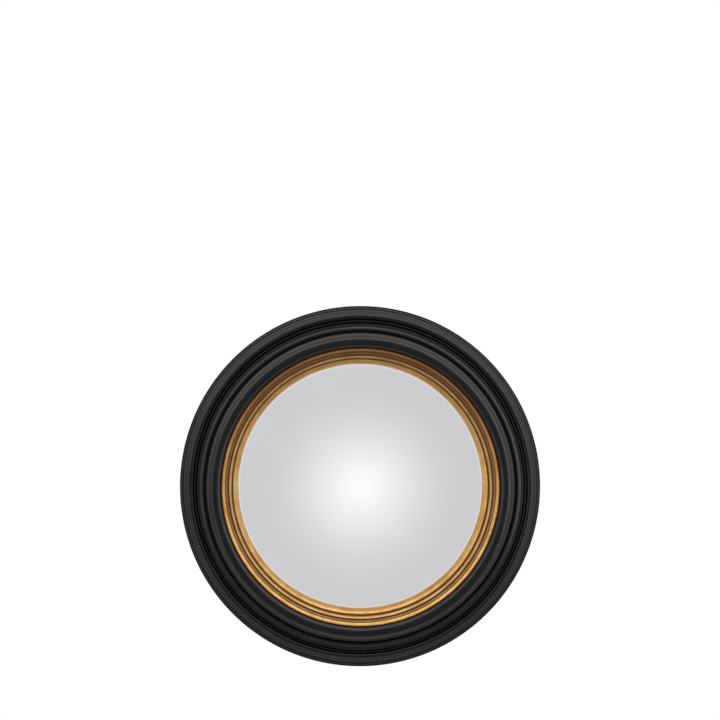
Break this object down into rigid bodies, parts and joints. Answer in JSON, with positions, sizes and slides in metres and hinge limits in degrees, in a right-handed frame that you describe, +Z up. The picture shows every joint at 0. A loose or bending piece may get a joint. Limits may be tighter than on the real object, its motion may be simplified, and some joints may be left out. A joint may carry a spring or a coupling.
{
  "type": "convex mirror",
  "caption": "Round convex wall mirror in a reeded black turned frame with a gilt inner slip, hung by swinging D-rings on its back.",
  "frame": {"origin": "centre of the mirror, in the plane of the wall it hangs against", "axes": "+Z up as it hangs, +Y into the wall, the glass faces -Y, +X to the viewer's right"},
  "size_m": [0.6, 0.061, 0.6],
  "materials": {
    "ebonised_wood": "satin black lacquer",
    "gilded_wood": "gold leaf over bole, patinated",
    "mirror_glass": "silvered convex glass",
    "felt": "felt",
    "cork": "agglomerated cork",
    "hardboard": "smooth hardboard",
    "zinc_steel": "zinc plated",
    "nickel_steel": "nickel plated",
    "rubber": "matt"
  },
  "bodies": {
    "frame": {"outer_moulding": "ebonised_wood", "inner_moulding": "ebonised_wood", "gilt_slip": "gilded_wood", "convex_glass": "mirror_glass", "front_felt": "felt", "back_packing": "cork", "backboard": "hardboard", "joint_screws": "zinc_steel", "board_screws": "zinc_steel", "clip_screws": "zinc_steel", "strap_screws": "zinc_steel", "glass_clip_1": "zinc_steel", "glass_clip_2": "zinc_steel", "glass_clip_3": "zinc_steel", "glass_clip_4": "zinc_steel", "glass_clip_5": "zinc_steel", "glass_clip_6": "zinc_steel", "glass_clip_7": "zinc_steel", "glass_clip_8": "zinc_steel", "wall_bumper_1": "rubber", "wall_bumper_2": "rubber", "wall_bumper_3": "rubber", "wall_bumper_4": "rubber", "hanger_strap_left": "nickel_steel", "hanger_strap_right": "nickel_steel"},
    "left_ring": {"hanger_ring_left": "nickel_steel"},
    "right_ring": {"hanger_ring_right": "nickel_steel"}
  },
  "joints": [
    {"name": "left_ring_swing", "type": "hinge", "parent": "frame", "child": "left_ring", "pos_m": [-0.15419, -0.00273, 0.23384], "axis": [-1, 0, 0], "range_deg": [0, 170]},
    {"name": "right_ring_swing", "type": "hinge", "parent": "frame", "child": "right_ring", "pos_m": [0.15419, -0.00273, 0.23384], "axis": [-1, 0, 0], "range_deg": [0, 170]}
  ]
}
